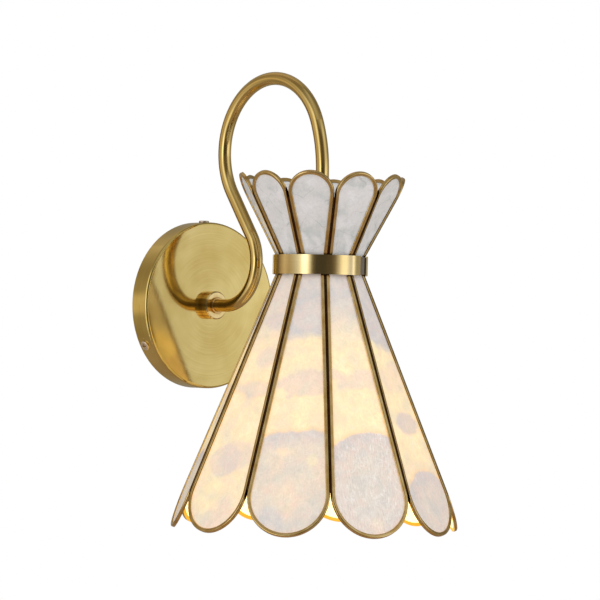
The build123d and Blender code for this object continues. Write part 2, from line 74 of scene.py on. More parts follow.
MM = 0.001
SHADE_AXIS = (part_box("shade_carrier")[0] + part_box("shade_carrier")[1]) / 2
ARM_AXIS = (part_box("arm_collar")[0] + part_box("arm_collar")[1]) / 2
BLACK = (0.0, 0.0, 0.0, 1.0)
WHITE = (1.0, 1.0, 1.0, 1.0)


# ---------------------------------------------------------------- small helpers

def linear(hex_colour: str) -> tuple[float, float, float, float]:
    """Turn a written sRGB colour into the linear colour that shaders take.

    Args:
        hex_colour: A colour such as "#C9B26B".

    Returns:
        Red, green, blue and an opacity of 1.
    """
    parts = [int(hex_colour[place:place + 2], 16) / 255 for place in (1, 3, 5)]
    curved = [part / 12.92 if part <= 0.04045 else ((part + 0.055) / 1.055) ** 2.4
              for part in parts]
    return (*curved, 1.0)


def add_node(tree: NodeTree, kind: str, inputs: Any = (), stops: Iterable[tuple[float, str]] = (),
             **settings: Any) -> Node:
    """Add one shader node with its settings, its values and its links.

    Args:
        tree: The node tree that takes the node.
        kind: The node's type, as Blender names it after "ShaderNode".
        inputs: What each input takes, in the inputs' order, or by name or place in a dict: a
            value, another node's output to link, or a node whose first output is linked.
        stops: For a colour ramp, the place and the written colour of each stop.
        settings: The node's own settings.

    Returns:
        The new node.
    """
    node = tree.nodes.new("ShaderNode" + kind)
    for name, value in settings.items():
        setattr(node, name, value)
    for socket, value in inputs.items() if isinstance(inputs, dict) else enumerate(inputs):
        if isinstance(value, Node):
            value = value.outputs[0]
        if isinstance(value, NodeSocket):
            tree.links.new(value, node.inputs[socket])
        else:
            node.inputs[socket].default_value = value
    for number, (place, colour) in enumerate(stops):
        elements = node.color_ramp.elements
        element = elements[number] if number < 2 else elements.new(place)
        element.position = place
        element.color = linear(colour)
    return node


def new_tree(name: str) -> tuple[Material, NodeTree]:
    """Make an empty node material and its tree."""
    material = bpy.data.materials.new(name)
    material.use_nodes = True
    material.node_tree.nodes.clear()
    return material, material.node_tree


def close_tree(tree: NodeTree, level: Any, relief: float, shown: dict[str, Any],
               roughness: tuple[float, ...] = ()) -> None:
    """Close a material with the surface's shader, in the relief of its pattern.

    Args:
        tree: The material's tree.
        level: How high the pattern stands at each place, from 0 to 1.
        relief: The height of the pattern, in mm.
        shown: What the shader's other inputs take.
        roughness: Two levels of the pattern, and how rough the surface is at each. Where it is
            empty, the roughness is in shown.
    """
    if roughness:
        shown["Roughness"] = add_node(tree, "MapRange", (level, *roughness))
    shown["Normal"] = add_node(tree, "Bump", {"Height": level, "Distance": relief * MM})
    add_node(tree, "OutputMaterial", (add_node(tree, "BsdfPrincipled", shown),))


def fade(values: np.ndarray) -> np.ndarray:
    """Ease values from 0 to 1, flat at both ends."""
    held = np.clip(values, 0.0, 1.0)
    return held * held * (3 - 2 * held)


def ripple(across: np.ndarray, down: np.ndarray, size: float, seed: float) -> np.ndarray:
    """Smooth random relief over points of a pane.

    Args:
        across: Places across the pane, in mm.
        down: Places down the pane, in mm.
        size: Size of the relief's features, in mm.
        seed: Picks one relief.

    Returns:
        A value for each point, mostly from -0.5 to 0.5.
    """
    return np.array([noise.noise(Vector((x / size, y / size, seed)))
                     for x, y in zip(across, down)])


def dress(nodes: Iterable[str], material: Material) -> None:
    """Give every material slot of some carried-over parts one finish."""
    names = list(nodes)
    for name in names:
        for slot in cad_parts[name].material_slots:
            slot.material = material
    log.info("dressed %s with %s", ", ".join(names), material.name)


# ---------------------------------------------------------------- finishes

class Brushing(Enum):
    """The way that the hairlines of a brass part run."""

    AROUND_SHADE = "level lines round the shade's axis"
    AROUND_ARM = "rings round the arm's axis, on faces and on rims"
    POLISHED = "no lines, only a faint wipe"


@dataclass(frozen=True)
class SatinBrass:
    """Brass sheet or tube under clear satin lacquer, brushed or polished.

    The eye sees pale gold where it mirrors light and brown where it mirrors dark, softened
    across the hairlines.
    """

    name: str
    colour: str
    worn: str                  # the colour where the lacquer lies thicker
    roughness: float
    brushing: Brushing
    line_pitch: float = 0.9    # mm; real hairlines are 0.1 mm and would not show
    line_length: float = 45.0  # mm
    line_radius: float = 36.0  # mm, the radius at which a line has its length
    line_relief: float = 0.004  # mm
    line_shade: float = 0.16   # how far a hairline changes the colour
    cloud_size: float = 30.0   # mm
    tone_levels: tuple[float, float] = (0.32, 0.62)  # of the pattern, at the two colours

    def line_places(self, tree: NodeTree, place: NodeSocket) -> tuple[Any, Any]:
        """Coordinates along and across the hairlines.

        Args:
            tree: The material's tree.
            place: The surface's place, in metres.

        Returns:
            The place along and the place across the lines, in metres.
        """
        axis = SHADE_AXIS if self.brushing is Brushing.AROUND_SHADE else ARM_AXIS
        from_axis = add_node(tree, "VectorMath", (place, axis), operation="SUBTRACT")
        x, y, z = add_node(tree, "SeparateXYZ", (from_axis,)).outputs
        if self.brushing is Brushing.POLISHED:
            return y, x
        level, height = (y, z) if self.brushing is Brushing.AROUND_SHADE else (z, y)
        turn = add_node(tree, "Math", (level, x), operation="ARCTAN2")
        along = add_node(tree, "Math", (turn, self.line_radius * MM), operation="MULTIPLY")
        flat = add_node(tree, "CombineXYZ", (x, level))
        reach = add_node(tree, "VectorMath", (flat,), operation="LENGTH").outputs["Value"]
        return along, add_node(tree, "Math", (reach, height), operation="ADD")

    def build(self) -> Material:
        """Build the material."""
        material, tree = new_tree(self.name)
        place = add_node(tree, "TexCoord").outputs["Object"]
        steps = [add_node(tree, "Math", (way, 1 / (size * MM)), operation="MULTIPLY")
                 for way, size in zip(self.line_places(tree, place),
                                      (self.line_length, self.line_pitch))]
        on_lines = add_node(tree, "CombineXYZ", steps)
        lines = add_node(tree, "TexNoise", {"Vector": on_lines, "Scale": 1.0, "Detail": 3.0})
        clouds = add_node(tree, "TexNoise",
                          {"Vector": place, "Scale": 1 / (self.cloud_size * MM), "Detail": 2.0})
        mixed = add_node(tree, "Mix", {0: self.line_shade, 2: clouds, 3: lines},
                         data_type="FLOAT")
        tone = add_node(tree, "ValToRGB", (mixed,), zip(self.tone_levels, (self.worn, self.colour)))
        close_tree(tree, lines, self.line_relief, {"Base Color": tone, "Metallic": 1.0},
                   (0.3, 0.7, self.roughness * 0.9, self.roughness * 1.12))
        return material


@dataclass(frozen=True)
class AgedBrass:
    """Brass worked by hand: bent or turned, soldered, darkened and rubbed bright again.

    The rounded face is tan gold, with painted shade in dark brown laid into its corners where
    occlusion finds them. Round a petal, a dark line along each seam is painted groove shade and
    solder colour, and low inside the bell a painted amber glow, given off as emission, stands for
    the lamp's light on the channel.
    """

    name: str
    colour: str = "#CFAC68"
    rubbed: str = "#E8CB8E"
    patina_and_shade: str = "#3C220A"
    painted_lamp_amber: str = "#E8AA12"
    roughness: float = 0.2
    corner_reach: float = 2.2   # mm, how far the painted corner shade reaches out of a corner
    unshaded_levels: tuple[float, float] = (0.4, 0.92)  # shares of open sky where the painted corner shade is full and where it ends
    blotch_size: float = 9.0    # mm
    blotch_relief: float = 0.03  # mm
    tone_levels: tuple[float, float] = (0.35, 0.66)  # of the blotches, at the two colours
    seam_turn: Optional[float] = None  # degrees to the first seam; None where there is none
    seam_angle: float = 36.0    # degrees from seam to seam
    seam_reach: tuple[float, float] = (0.95, 1.3)  # mm from a seam where its dark line, painted groove shade and solder colour, ends
    lamp_facing: tuple[float, float] = (-0.08, -0.5)  # outward facing at no painted glow and at full
    lamp_depths: tuple[float, float] = (40.0, 100.0)  # mm below the strap, at the same two

    def build(self) -> Material:
        """Build the material."""
        material, tree = new_tree(self.name)
        place = add_node(tree, "TexCoord").outputs["Object"]
        blotches = add_node(tree, "TexNoise",
                            {"Vector": place, "Scale": 1 / (self.blotch_size * MM), "Detail": 4.0})
        tone = add_node(tree, "ValToRGB", (blotches,),
                        zip(self.tone_levels, (self.colour, self.rubbed)))
        # Painted shade: dark brown laid into corners where occlusion finds them, and along each
        # seam.
        corner = add_node(tree, "AmbientOcclusion", {"Distance": self.corner_reach * MM},
                          samples=16)
        unshaded = add_node(tree, "MapRange", (corner.outputs["AO"], *self.unshaded_levels))
        if self.seam_turn is not None:
            unshaded = add_node(tree, "Math", (unshaded, self.off_seam(tree, place)),
                             operation="MULTIPLY")
        colour = add_node(tree, "Mix", {0: unshaded, 6: linear(self.patina_and_shade), 7: tone},
                          data_type="RGBA").outputs[2]
        # The emission is painted lamp light on the channel, low in the bell.
        close_tree(tree, blotches, self.blotch_relief,
                   {"Base Color": colour, "Metallic": 1.0, "Emission Strength": 1.0,
                    "Emission Color": self.painted_lamp_light(tree, place)},
                   (0.3, 0.7, self.roughness, self.roughness * 1.25))
        return material

    def level_place(self, tree: NodeTree, place: NodeSocket) -> Node:
        """The place from the shade's axis, with no height."""
        from_axis = add_node(tree, "VectorMath", (place, SHADE_AXIS), operation="SUBTRACT")
        return add_node(tree, "VectorMath", (from_axis, (1.0, 1.0, 0.0)), operation="MULTIPLY")

    def off_seam(self, tree: NodeTree, place: NodeSocket) -> Node:
        """How far the channel is off its seam: 0 along the seam's dark line, painted groove shade
        and solder colour, 1 away from it.

        Args:
            tree: The material's tree.
            place: The surface's place, in metres.

        Returns:
            The node that gives the share.
        """
        level = self.level_place(tree, place)
        x, y, _ = add_node(tree, "SeparateXYZ", (level,)).outputs
        front = add_node(tree, "Math", (y, -1.0), operation="MULTIPLY")
        turn = add_node(tree, "Math", (x, front), operation="ARCTAN2")
        share = math.radians(self.seam_angle)
        seams = add_node(tree, "Math", (turn, 1 / share, -self.seam_turn / self.seam_angle),
                         operation="MULTIPLY_ADD")
        off = add_node(tree, "Math", (seams, 0.5), operation="PINGPONG")
        reach = add_node(tree, "VectorMath", (level,), operation="LENGTH").outputs["Value"]
        gap = add_node(tree, "Math", (off, reach), operation="MULTIPLY")
        return add_node(tree, "MapRange",
                        (gap, *(distance * MM / share for distance in self.seam_reach)))

    def painted_lamp_light(self, tree: NodeTree, place: NodeSocket) -> NodeSocket:
        """Painted amber glow, given off as emission, where the channel faces the shade's axis, low
        in the bell.

        Args:
            tree: The material's tree.
            place: The surface's place, in metres.

        Returns:
            The socket of the painted glow's colour.
        """
        facing = add_node(tree, "NewGeometry").outputs["Normal"]
        outward = add_node(tree, "VectorMath", (self.level_place(tree, place),),
                           operation="NORMALIZE")
        away = add_node(tree, "VectorMath", (facing, outward), operation="DOT_PRODUCT")
        inward = add_node(tree, "MapRange", (away.outputs["Value"], *self.lamp_facing))
        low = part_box("waist_band")[0].z
        height = add_node(tree, "SeparateXYZ", (place,)).outputs[2]
        below = add_node(tree, "MapRange",
                         (height, *(low - depth * MM for depth in self.lamp_depths)))
        share = add_node(tree, "Math", (inward, below), operation="MULTIPLY")
        return add_node(tree, "Mix", {0: share, 6: BLACK, 7: linear(self.painted_lamp_amber)},
                        data_type="RGBA").outputs[2]


@dataclass(frozen=True)
class PlainSurface:
    """A part that is one material with a fine texture of its own: steel, plastic or plating."""

    name: str
    colour: str
    second: str
    metallic: float
    roughness: float
    grain_size: float      # mm; moulded and rolled grain is coarser than it is, so that it shows
    relief: float          # mm
    contrast: float = 0.25
    cells: bool = False    # crystals, as on zinc plate, instead of a moulded grain

    def build(self) -> Material:
        """Build the material."""
        material, tree = new_tree(self.name)
        grain = {"Vector": add_node(tree, "TexCoord").outputs["Object"],
                 "Scale": 1 / (self.grain_size * MM)}
        if self.cells:
            level = add_node(tree, "SeparateXYZ",
                             (add_node(tree, "TexVoronoi", grain).outputs["Color"],))
        else:
            level = add_node(tree, "TexNoise", {**grain, "Detail": 3.0})
        tone = add_node(tree, "ValToRGB", (level,), ((0.5 - self.contrast, self.second),
                                                     (0.5 + self.contrast, self.colour)))
        close_tree(tree, level, self.relief, {"Base Color": tone, "Metallic": self.metallic},
                   (0.0, 1.0, self.roughness * 0.85, self.roughness * 1.15))
        return material


@dataclass(frozen=True)
class OpalGlass:
    """Opal blown glass with a lit lamp inside: an even warm white with a softer neck."""

    name: str = "opal_glass_lit"
    colour: str = "#EDDCBA"
    light: str = "#FFCF8C"
    neck_light: str = "#FFB468"
    neck_levels: tuple[float, float] = (0.6, 0.85)  # shares of the height where the light turns
    strength: float = 0.45
    roughness: float = 0.3

    def build(self) -> Material:
        """Build the material."""
        material, tree = new_tree(self.name)
        place = add_node(tree, "TexCoord").outputs["Object"]
        height = add_node(tree, "SeparateXYZ", (place,)).outputs[2]
        low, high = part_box("bulb_globe")
        share = add_node(tree, "MapRange", (height, low.z, high.z))
        light = add_node(tree, "ValToRGB", (share,),
                         zip(self.neck_levels, (self.light, self.neck_light)))
        shader = add_node(tree, "BsdfPrincipled",
                          {"Base Color": linear(self.colour), "Roughness": self.roughness,
                           "Emission Color": light, "Emission Strength": self.strength})
        add_node(tree, "OutputMaterial", (shader,))
        return material


@dataclass(frozen=True)
class CapizShell:
    """Capiz shell: thin windowpane-oyster leaves, split, trimmed, overlaid and polished.

    The lamp's light through the shell is painted in as emission, and as cream in its own colour:
    cream through one leaf, pale rose through two, a painted amber line at a leaf's rim, and where
    no light is painted, pearly grey with fibres along the petal.
    """

    name: str
    pearl: str = "#E3DBD6"
    cool: str = "#D3D0D1"
    rose: str = "#E6D5CF"
    # cream tints the shell's own colour where lamp light is painted; the lit colours and the
    # strength below are that painted light, given off as emission.
    cream: str = "#E2D2AE"
    fibre_dark: str = "#BDB3AC"
    fibre_light: str = "#F4F1EC"
    lit_cream: str = "#FFE09A"
    lit_rose: str = "#FFC2A2"
    lit_amber: str = "#FFA83C"
    strength: float = 0.36
    roughness: float = 0.4
    cloud_size: float = 15.0     # mm
    fibre_width: float = 0.8     # mm, drawn coarser than the real 0.2 mm so that it shows
    fibre_length: float = 5.0    # mm
    fibre_relief: float = 0.035  # mm
    wisp_size: float = 15.0      # mm, of the loops that the pale growth lines make
    wisp_width: float = 0.009    # share of a loop
    wisp_shade: float = 0.16     # how far a growth line is drawn pale
    mottle_size: float = 6.0     # mm
    crinkle_size: float = 5.0    # mm, of the shallow creases that polishing leaves
    crack_spacing: float = 24.0  # mm
    crack_width: float = 0.5     # mm
    crack_bend: float = 5.0      # mm, how crooked a crack is
    crack_shade: float = 0.0
    # Two levels of a pattern, and the share of a layer at each.
    cool_levels: tuple[float, ...] = (0.4, 0.62, 0.0, 1.0)      # cool grey, by the clouds
    rose_levels: tuple[float, ...] = (0.35, 0.65, 0.5, 0.92)    # rose, by the mottle
    dark_levels: tuple[float, ...] = (0.54, 0.74, 0.0, 0.28)    # dark, by the fibres
    pale_levels: tuple[float, ...] = (0.46, 0.3, 0.0, 0.38)     # pale, by the fibres
    uneven_levels: tuple[float, ...] = (0.3, 0.7, 0.8, 1.16)    # the painted lamp light, by the mottle
    crinkle_levels: tuple[float, ...] = (0.3, 0.7, 0.948, 1.052)  # lightness, by the creases

    def build(self) -> Material:
        """Build the material."""
        material, tree = new_tree(self.name)
        place, shown = (add_node(tree, "Attribute", attribute_name=name).outputs["Vector"]
                        for name in ("petal_place", "shell_light"))
        # Painted lamp light, its rose share, and painted amber lines at rims and lips.
        glow, blush, amber = add_node(tree, "SeparateXYZ", (shown,)).outputs
        fibrous = add_node(tree, "Attribute", attribute_name="fibrous").outputs["Fac"]

        # The patterns: where each is looked up, its scale, its detail and how far it is warped.
        along = add_node(tree, "Mapping",
                         {0: place, 3: (1 / self.fibre_width, 1 / self.fibre_length, 1.0)})
        clouds, mottle, fibres, loops, creases = (
            add_node(tree, "TexNoise",
                     {"Vector": where, "Scale": scale, "Detail": detail, "Distortion": warp})
            for where, scale, detail, warp in (
                (place, 1 / self.cloud_size, 4.0, 0.6), (place, 1 / self.mottle_size, 4.0, 0.0),
                (along, 1.0, 3.0, 0.9), (place, 1 / self.wisp_size, 3.0, 1.6),
                (place, 1 / self.crinkle_size, 5.0, 2.2)))
        cool, rose, dark, pale, uneven, crinkle = (
            add_node(tree, "MapRange", (pattern, *levels)) for pattern, levels in (
                (clouds, self.cool_levels), (mottle, self.rose_levels),
                (fibres, self.dark_levels), (fibres, self.pale_levels),
                (mottle, self.uneven_levels), (creases, self.crinkle_levels)))
        wisps = add_node(tree, "Math", (loops, 0.5, self.wisp_width), operation="COMPARE")
        pale = add_node(tree, "Math", (wisps, self.wisp_shade, pale), operation="MULTIPLY_ADD")
        rose, dark, pale = (
            add_node(tree, "Math", pair, operation="MULTIPLY", use_clamp=True)
            for pair in ((rose, blush), (dark, fibrous), (pale, fibrous)))

        # Hair cracks, where the shell has split along a crooked line.
        bend = add_node(tree, "VectorMath", {0: mottle.outputs["Color"], 3: self.crack_bend},
                        operation="SCALE")
        crooked = add_node(tree, "VectorMath", (place, bend), operation="ADD")
        split = add_node(tree, "TexVoronoi", {"Vector": crooked, "Scale": 1 / self.crack_spacing},
                         feature="DISTANCE_TO_EDGE")
        crack = add_node(tree, "MapRange", (split, 0.0, self.crack_width / self.crack_spacing,
                                            self.crack_shade, 0.0))
        crack, level = (add_node(tree, "Math", pair, operation="MULTIPLY")
                        for pair in ((crack, cool), (glow, uneven)))
        creased = add_node(tree, "Math", (level, crinkle), operation="MULTIPLY")

        # The layers of the shell's own colour over pearl, turned cream where lamp light is painted,
        # and of the painted lamp light, given off as emission, over cream.
        body, light = linear(self.pearl), linear(self.lit_cream)
        for share, colour in ((cool, self.cool), (rose, self.rose), (glow, self.cream),
                              (dark, self.fibre_dark), (pale, self.fibre_light),
                              (crack, self.fibre_dark)):
            body = add_node(tree, "Mix", {0: share, 6: body, 7: linear(colour)},
                            data_type="RGBA").outputs[2]
        for share, colour in ((rose, self.lit_rose), (amber, self.lit_amber)):
            light = add_node(tree, "Mix", {0: share, 6: light, 7: linear(colour)},
                             data_type="RGBA").outputs[2]
        body, light = (add_node(tree, "VectorMath", {0: colour, 3: lightness}, operation="SCALE")
                       for colour, lightness in ((body, crinkle), (light, creased)))
        close_tree(tree, fibres, self.fibre_relief,
                   {"Base Color": body, "Roughness": self.roughness, "IOR": 1.53,
                    "Coat Weight": 0.3, "Coat Roughness": 0.25, "Emission Color": light,
                    "Emission Strength": self.strength})
        return material


# ---------------------------------------------------------------- shell panes

@dataclass(frozen=True)
class ShellLeaf:
    """One thin leaf of shell in a pane: an oval, in mm, from the pane's upper end."""

    across: float
    down: float
    half_width: float
    half_height: float
    holds_back: float      # share of the painted lamp light that it takes away; below 0 the leaf is thinner
    blush: float           # how rosy the light turns
    edge: float = 2.0      # mm over which its rim fades
    fibrous: float = 0.0
    clears: float = 0.0    # how much of the held light comes through away from the rim
    rim_light: float = 0.0  # painted amber glow line just outside the rim
    wavy: float = 3.0      # mm, how far the rim wanders


@dataclass(frozen=True)
class PaneLook:
    """What one pane shows: where the painted shadow of the lampholder ends, and its leaves."""

    leaves: tuple[ShellLeaf, ...] = ()
    shadow_end: float = 57.0
    shadow_tilt: float = 0.0     # mm of height for each mm across
    shadow_edge: float = 5.0
    shadow_glow: float = 0.1     # what little painted light shows above it
    blush: float = 0.32          # how rosy the pane is all over


@dataclass
class PetalTier:
    """One ring of ten petals: frames and strips from the frame, and panes of shell leaves."""

    tier: str
    direction: int               # +1 where the petals rise, -1 where they hang
    flare: float                 # degrees off the shade's axis
    turn: float                  # degrees from the front to the first seam
    shell: CapizShell
    looks: dict[int, PaneLook]
    lit: float                   # how strongly the painted lamp light shows through
    petal_count: int = 10
    grid: float = 1.4            # mm between the pane's points
    edge_room: float = 0.55      # share of the grid that inner points stay off the edge
    broad_size: float = 16.0     # mm, of the unevenness that makes rims and shadows wander
    middle_size: float = 9.0     # mm, of the unevenness in glow and blush
    small_size: float = 4.5      # mm
    leaf_step: float = 0.1       # mm of relief at a leaf's rim
    pane_warp: float = 0.05      # mm of relief in the whole pane
    rim_reach: float = 2.5       # mm that a rim's painted amber line is wide
    clear_reach: float = 16.0    # mm from the rim to where a leaf is clearest
    lip_cover: float = 2.0       # mm of the pane that the frame's lip hides
    lip_light: float = 1.0       # mm that the painted warm line beside the lip is wide
    tip_dimming: float = 0.45    # share of the painted lamp light taken off towards the tip
    tip_start: float = 120.0     # mm down the pane to where it starts to dim
    tip_length: float = 110.0    # mm from there to where it is dimmest
    inner_glow: float = 5.6      # painted glow, as emission, on the face towards the lamp
    inner_start: float = 30.0    # mm down the pane to where that face starts to glow
    inner_length: float = 50.0   # mm from there to its full glow

    def axes(self, number: int) -> Matrix:
        """Directions of a petal: across it, along it to the tip, and inwards.

        Args:
            number: The petal's number, from 1.

        Returns:
            A matrix whose rows are the three unit vectors.
        """
        share = 2 * math.pi / self.petal_count
        angle = share * (number - 0.5) + math.radians(self.turn)
        outward = Vector((math.sin(angle), -math.cos(angle), 0))
        sideways = Vector((math.cos(angle), math.sin(angle), 0))
        sine = math.sin(math.radians(self.flare))
        cosine = math.cos(math.radians(self.flare))
        upright = Vector((0, 0, self.direction))
        across = sideways * -self.direction
        along = outward * sine + upright * cosine
        inward = outward * -cosine + upright * sine
        return Matrix((across, along, inward))

    def measure(self, number: int) -> np.ndarray:
        """Corner places of a pane's CAD solid along its petal's own directions, in mm."""
        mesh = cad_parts[f"{self.tier}_petal_shell_{number:02d}"].data
        points = np.array([vertex.co - SHADE_AXIS for vertex in mesh.vertices]) / MM
        return points @ np.array(self.axes(number)).T

    def outline(self, places: np.ndarray) -> list[tuple[float, float]]:
        """The pane's outline: straight sides and a round end that meets them smoothly.

        Args:
            places: What measure() gives.

        Returns:
            Points round the pane, (across, along), in mm.
        """
        top = places[:, 1].min()
        tip = places[:, 1].max()
        half_top = np.abs(places[places[:, 1] < top + 0.01, 0]).max()
        side = math.atan(math.sin(math.radians(self.flare))
                         * math.tan(math.pi / self.petal_count))
        sine, cosine = math.sin(side), math.cos(side)
        centre = (tip - cosine * half_top + sine * top) / (1 + sine)
        radius = tip - centre
        side_length = (centre - sine * radius - top) / cosine
        steps = math.ceil(side_length / self.grid)
        left = [(-half_top - side_length * sine * step / steps,
                 top + side_length * cosine * step / steps) for step in range(steps)]
        turn = math.pi + 2 * side
        bends = math.ceil(radius * turn / self.grid)
        angles = [math.pi + side - turn * bend / bends for bend in range(bends + 1)]
        end = [(radius * math.cos(angle), centre + radius * math.sin(angle)) for angle in angles]
        right = [(-x, y) for x, y in reversed(left)]
        steps = math.ceil(2 * half_top / self.grid)
        lid = [(half_top - 2 * half_top * step / steps, top) for step in range(1, steps)]
        return left + end + right + lid

    def fill(self, outline: list[tuple[float, float]]) -> tuple[np.ndarray, list, np.ndarray]:
        """Fill an outline with even triangles.

        Args:
            outline: Points round the pane.

        Returns:
            All points, the triangles, and each point's distance from the edge. The outline's
            points come first, with a distance of 0.
        """
        ring = np.array(outline)
        low = ring[:, 1].min()
        row_height = self.grid * math.sqrt(3) / 2
        rows = int((ring[:, 1].max() - low) / row_height)
        span = int(np.abs(ring[:, 0]).max() / self.grid) + 1
        spots = np.array([(step * self.grid + (row % 2) * self.grid / 2, low + row * row_height)
                          for row in range(1, rows) for step in range(-span, span + 1)])
        run = np.roll(ring, -1, axis=0) - ring
        gap = np.full(len(spots), np.inf)
        inside = np.zeros(len(spots), bool)
        for point, step, length in zip(ring, run, (run ** 2).sum(1)):
            offset = spots - point
            share = np.clip((offset @ step) / length, 0, 1)
            gap = np.minimum(gap, np.hypot(*(offset - share[:, None] * step).T))
            crossing = (point[1] > spots[:, 1]) != (point[1] + step[1] > spots[:, 1])
            if abs(step[1]) > 1e-9:
                reach = point[0] + (spots[:, 1] - point[1]) * step[0] / step[1]
                inside ^= crossing & (spots[:, 0] < reach)
        kept = inside & (gap > self.grid * self.edge_room)
        points = [Vector(point) for point in np.vstack([ring, spots[kept]])]
        made = delaunay_2d_cdt(points, [], [list(range(len(ring)))], 1, 1e-6)
        gaps = np.concatenate([np.zeros(len(ring)), gap[kept]])
        return np.array([tuple(point) for point in made[0]]), made[2], gaps

    def shade_pane(self, look: PaneLook, across: np.ndarray, down: np.ndarray, gap: np.ndarray,
                   seed: float) -> dict[str, np.ndarray]:
        """Work out what each point of a pane shows.

        Args:
            look: The pane's painted shadow and its leaves.
            across: Places across the pane, in mm.
            down: Places down the pane from its upper end, in mm.
            gap: How far each place is from the pane's edge, in mm.
            seed: Makes each pane's wavy rims its own.

        Returns:
            The painted lamp glow, the blush, the painted amber lines, the fibres and the relief at
            each point.
        """
        broad = ripple(across, down, self.broad_size, seed)
        middle = ripple(across, down, self.middle_size, seed + 20)
        small = ripple(across, down, self.small_size, seed + 50)
        # The painted shadow of the lampholder ends on a wandering line; painted lamp light falls
        # below it.
        line = look.shadow_end + look.shadow_tilt * across + broad * 8 + small * 2.5
        out_of_shadow = fade((down - line) / look.shadow_edge * 0.5 + 0.5)
        glow = look.shadow_glow + (1 - look.shadow_glow) * out_of_shadow
        glow = glow * (1 - self.tip_dimming * fade((down - self.tip_start) / self.tip_length))
        glow = glow * (1 + 0.35 * broad + 0.3 * middle)
        blush = look.blush + 0.9 * middle + 0.8 * small
        amber = np.zeros_like(across)
        fibrous = np.full_like(across, 0.35) + 0.3 * broad
        covered = np.zeros_like(across)
        for leaf in look.leaves:
            reach = np.hypot((across - leaf.across) / leaf.half_width,
                             (down - leaf.down) / leaf.half_height)
            outside = (reach - 1) * min(leaf.half_width, leaf.half_height)
            outside = outside + (broad + 0.6 * small) * leaf.wavy
            cover = fade(0.5 - outside / leaf.edge)
            cleared = 1 - leaf.clears * fade(-outside / self.clear_reach)
            glow = glow * (1 - leaf.holds_back * cover * cleared)
            amber = amber + leaf.rim_light * np.exp(-(outside / self.rim_reach) ** 2)
            blush = blush + leaf.blush * cover * cleared
            fibrous = np.maximum(fibrous, leaf.fibrous * cover)
            covered = covered + cover
        # A painted warm line along the pane's edge, just inside the frame's lip.
        amber = amber + 0.5 * np.exp(-((gap - self.lip_cover) / self.lip_light) ** 2)
        relief = self.leaf_step * (covered.max() - covered) + self.pane_warp * (broad - broad.min())
        return {"glow": np.clip(glow, 0, 1.6) * self.lit, "blush": np.clip(blush, 0, 1.2),
                "amber": np.clip(amber, 0, 1), "fibrous": fibrous, "relief": relief}

    def make_pane(self, number: int, filled: tuple[np.ndarray, list, np.ndarray],
                  depths: tuple[float, float], material: Material) -> bpy.types.Object:
        """Make one pane as a closed mesh: leaves in relief in front, a plain back, and an edge.

        Args:
            number: The petal's number.
            filled: What fill() gives.
            depths: Places of the front and the back along the inward direction, in mm.
            material: The shell.

        Returns:
            The pane.
        """
        flat, triangles, gap = filled
        ring = int((gap == 0).sum())
        across = flat[:, 0]
        down = flat[:, 1] - flat[:, 1].min()
        shown = self.shade_pane(self.looks[number], across, down, gap, number * 7.3)
        front = np.column_stack([flat, depths[0] + shown["relief"]])
        back = np.column_stack([flat, np.full(len(flat), depths[1])])
        points = np.vstack([front, back]) @ np.array(self.axes(number)) * MM
        points = points + np.array(SHADE_AXIS)
        count = len(flat)
        faces = [tuple(face) for face in triangles]
        faces += [tuple(corner + count for corner in reversed(face)) for face in triangles]
        faces += [(corner, (corner + 1) % ring, (corner + 1) % ring + count, corner + count)
                  for corner in range(ring)]
        name = f"{self.tier}_capiz_pane_{number:02d}"
        mesh = bpy.data.meshes.new(name)
        mesh.from_pydata(points.tolist(), [], faces)
        solid = bmesh.new()
        solid.from_mesh(mesh)
        bmesh.ops.recalc_face_normals(solid, faces=solid.faces)
        solid.to_mesh(mesh)
        solid.free()
        mesh.shade_smooth()
        mesh.set_sharp_from_angle(angle=math.radians(40))
        place = np.column_stack([across, down, np.full(count, number * 31.0)])
        # Painted light on each face: the front's from shade_pane, the back's a glow towards the
        # lamp.
        outer = np.column_stack([shown["glow"], shown["blush"], shown["amber"]])
        inner = outer * 0
        inner[:, 0] = (self.lit * self.inner_glow
                       * fade((down - self.inner_start) / self.inner_length))
        for title, kind, part, values in (
                ("petal_place", "FLOAT_VECTOR", "vector", np.vstack([place, place])),
                ("shell_light", "FLOAT_VECTOR", "vector", np.vstack([outer, inner])),
                ("fibrous", "FLOAT", "value", np.tile(shown["fibrous"], 2))):
            mesh.attributes.new(title, kind, "POINT").data.foreach_set(part, values.ravel())
        mesh.materials.append(material)
        pane = bpy.data.objects.new(name, mesh)
        bpy.context.scene.collection.objects.link(pane)
        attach(pane, "root")
        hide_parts(f"{self.tier}_petal_shell_{number:02d}")
        return pane

    def build(self) -> None:
        """Dress the frames and make the panes."""
        numbers = range(1, self.petal_count + 1)
        channel = AgedBrass(f"brass_channel_{self.tier}", seam_turn=self.turn).build()
        dress((f"{self.tier}_petal_frame_{number:02d}" for number in numbers), channel)
        places = self.measure(1)
        depths = (places[:, 2].min(), places[:, 2].max())
        filled = self.fill(self.outline(places))
        material = self.shell.build()
        for number in numbers:
            pane = self.make_pane(number, filled, depths, material)
            log.info("made %s with %d faces", pane.name, len(pane.data.polygons))


def big_leaf(across: float, top: float, **changes: float) -> ShellLeaf:
    """The broad leaf at a bell petal's round end, from where its arched rim stands highest."""
    size = {"half_width": 46.0, "half_height": 46.0, "holds_back": 0.9, "blush": 0.5, "edge": 1.6,
            "fibrous": 1.0, "clears": 0.3, "rim_light": 0.9, "wavy": 1.4}
    size.update(changes)
    return ShellLeaf(across, top + size["half_height"], **size)


